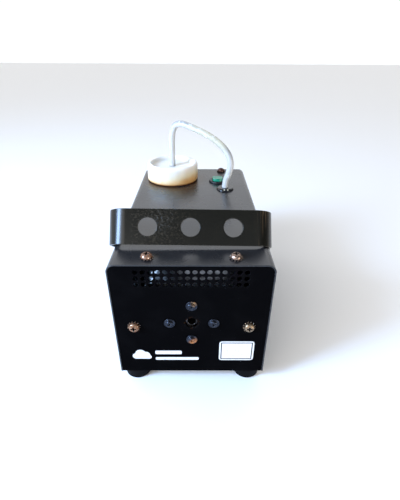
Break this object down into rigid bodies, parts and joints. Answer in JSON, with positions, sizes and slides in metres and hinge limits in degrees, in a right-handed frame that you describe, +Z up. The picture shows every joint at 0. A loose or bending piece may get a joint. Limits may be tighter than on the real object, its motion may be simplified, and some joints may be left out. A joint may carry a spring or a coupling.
{
  "type": "fog machine",
  "caption": "Small box-shaped fog machine in bent black sheet metal, with a swinging hanging bracket, a white fluid cap and a clear hose arching to a grommet; electric heater and pump inside.",
  "frame": {"origin": "middle of the footprint, on the surface that the feet stand on", "axes": "+X to the right, +Y from the front panel to the rear panel, +Z up"},
  "size_m": [0.1686, 0.2386, 0.1981],
  "materials": {
    "housing_paint": "semi-gloss black powder coat",
    "bracket_paint": "semi-gloss black paint, worn",
    "yellow_zinc": "yellow zinc plate, rusty",
    "dark_zinc": "dark zinc plate",
    "bare_steel": "bright zinc plate",
    "nozzle_steel": "turned, heat tinted",
    "black_rubber": "matt",
    "black_plastic": "fine texture",
    "white_plastic": "white, stained at the lower edge",
    "bottle_plastic": "natural blow-moulded",
    "clear_silicone": "milky translucent",
    "green_plastic": "translucent green",
    "foam": "closed-cell foam",
    "aluminium": "as cast",
    "foil": "foil-faced blanket",
    "copper": "enamelled copper",
    "brass": "turned",
    "white_ceramic": "unglazed",
    "fuse_glass": "clear",
    "live_insulation": "brown",
    "neutral_insulation": "blue",
    "earth_insulation": "green and yellow"
  },
  "bodies": {
    "root": {"front_panel": "housing_paint", "rear_panel": "housing_paint", "top_cover": "housing_paint", "base_tray": "housing_paint", "bulkhead": "bare_steel", "frame_screws": "bare_steel", "housing_screws": "yellow_zinc", "toothed_washers": "yellow_zinc", "rubber_feet": "black_rubber", "foot_screws": "bare_steel", "weld_nuts": "bare_steel", "friction_washers": "black_rubber", "bottle_pad": "foam", "fluid_bottle": "bottle_plastic", "hose": "clear_silicone", "hose_grommet": "black_rubber", "pickup_tube": "clear_silicone", "pickup_filter": "brass", "pump_inlet_hose": "clear_silicone", "pump_yoke": "bare_steel", "pump_bobbin": "black_plastic", "pump_coil": "copper", "pump_barrel": "brass", "upper_plunger_spring": "bare_steel", "lower_plunger_spring": "bare_steel", "pump_dampers": "black_rubber", "pump_bracket": "bare_steel", "pump_elbow": "brass", "feed_tube": "bare_steel", "feed_nut": "brass", "heater_block_lower": "aluminium", "heater_block_upper": "aluminium", "vaporiser_tube": "bare_steel", "heating_element": "bare_steel", "heater_clamp_bolts": "bare_steel", "nozzle": "nozzle_steel", "heater_standoffs": "white_ceramic", "heater_screws": "dark_zinc", "heater_insulation": "foil", "heater_support": "bare_steel", "thermostat": "bare_steel", "thermal_fuse": "white_ceramic", "terminal_block": "white_plastic", "remote_jack": "black_plastic", "mains_inlet": "black_plastic", "inlet_pins": "brass", "connector_fixings": "bare_steel", "switch_body": "black_plastic", "live_wires": "live_insulation", "neutral_wires": "neutral_insulation", "earth_wires": "earth_insulation"},
    "bracket": {"bracket": "bracket_paint"},
    "left_knob": {"left_knob": "black_plastic"},
    "right_knob": {"right_knob": "black_plastic"},
    "switch_rocker": {"switch_rocker": "green_plastic"},
    "cap_gasket": {"cap_gasket": "foam"},
    "fluid_cap": {"fluid_cap": "white_plastic"},
    "pump_plunger": {"pump_plunger": "bare_steel"},
    "fuse_drawer": {"fuse_drawer": "black_plastic", "glass_fuse": "fuse_glass"}
  },
  "joints": [
    {"name": "bracket_swing", "type": "hinge", "parent": "root", "child": "bracket", "pos_m": [0, 0.0035, 0.0828], "axis": [-1, 0, 0], "range_deg": [0, 62]},
    {"name": "left_knob_turn", "type": "hinge", "parent": "root", "child": "left_knob", "pos_m": [-0.0765, 0.0035, 0.0828], "axis": [-1, 0, 0], "continuous": true},
    {"name": "right_knob_turn", "type": "hinge", "parent": "root", "child": "right_knob", "pos_m": [0.0765, 0.0035, 0.0828], "axis": [1, 0, 0], "continuous": true},
    {"name": "switch_rock", "type": "hinge", "parent": "root", "child": "switch_rocker", "pos_m": [0.0285, 0.0685, 0.126], "axis": [1, 0, 0], "range_deg": [0, 14]},
    {"name": "cap_lift", "type": "slide", "parent": "root", "child": "cap_gasket", "axis": [0, 0, 1], "range_m": [0, 0.018]},
    {"name": "cap_turn", "type": "hinge", "parent": "cap_gasket", "child": "fluid_cap", "pos_m": [-0.0258, 0.0785, 0.1386], "axis": [0, 0, 1], "continuous": true},
    {"name": "plunger_stroke", "type": "slide", "parent": "root", "child": "pump_plunger", "axis": [0, 0, 1], "range_m": [-0.0015, 0.0015], "stiffness_N_per_m": 400, "deforming": ["upper_plunger_spring", "lower_plunger_spring"]},
    {"name": "fuse_drawer_slide", "type": "slide", "parent": "root", "child": "fuse_drawer", "axis": [0, 1, 0], "range_m": [0, 0.018]}
  ]
}
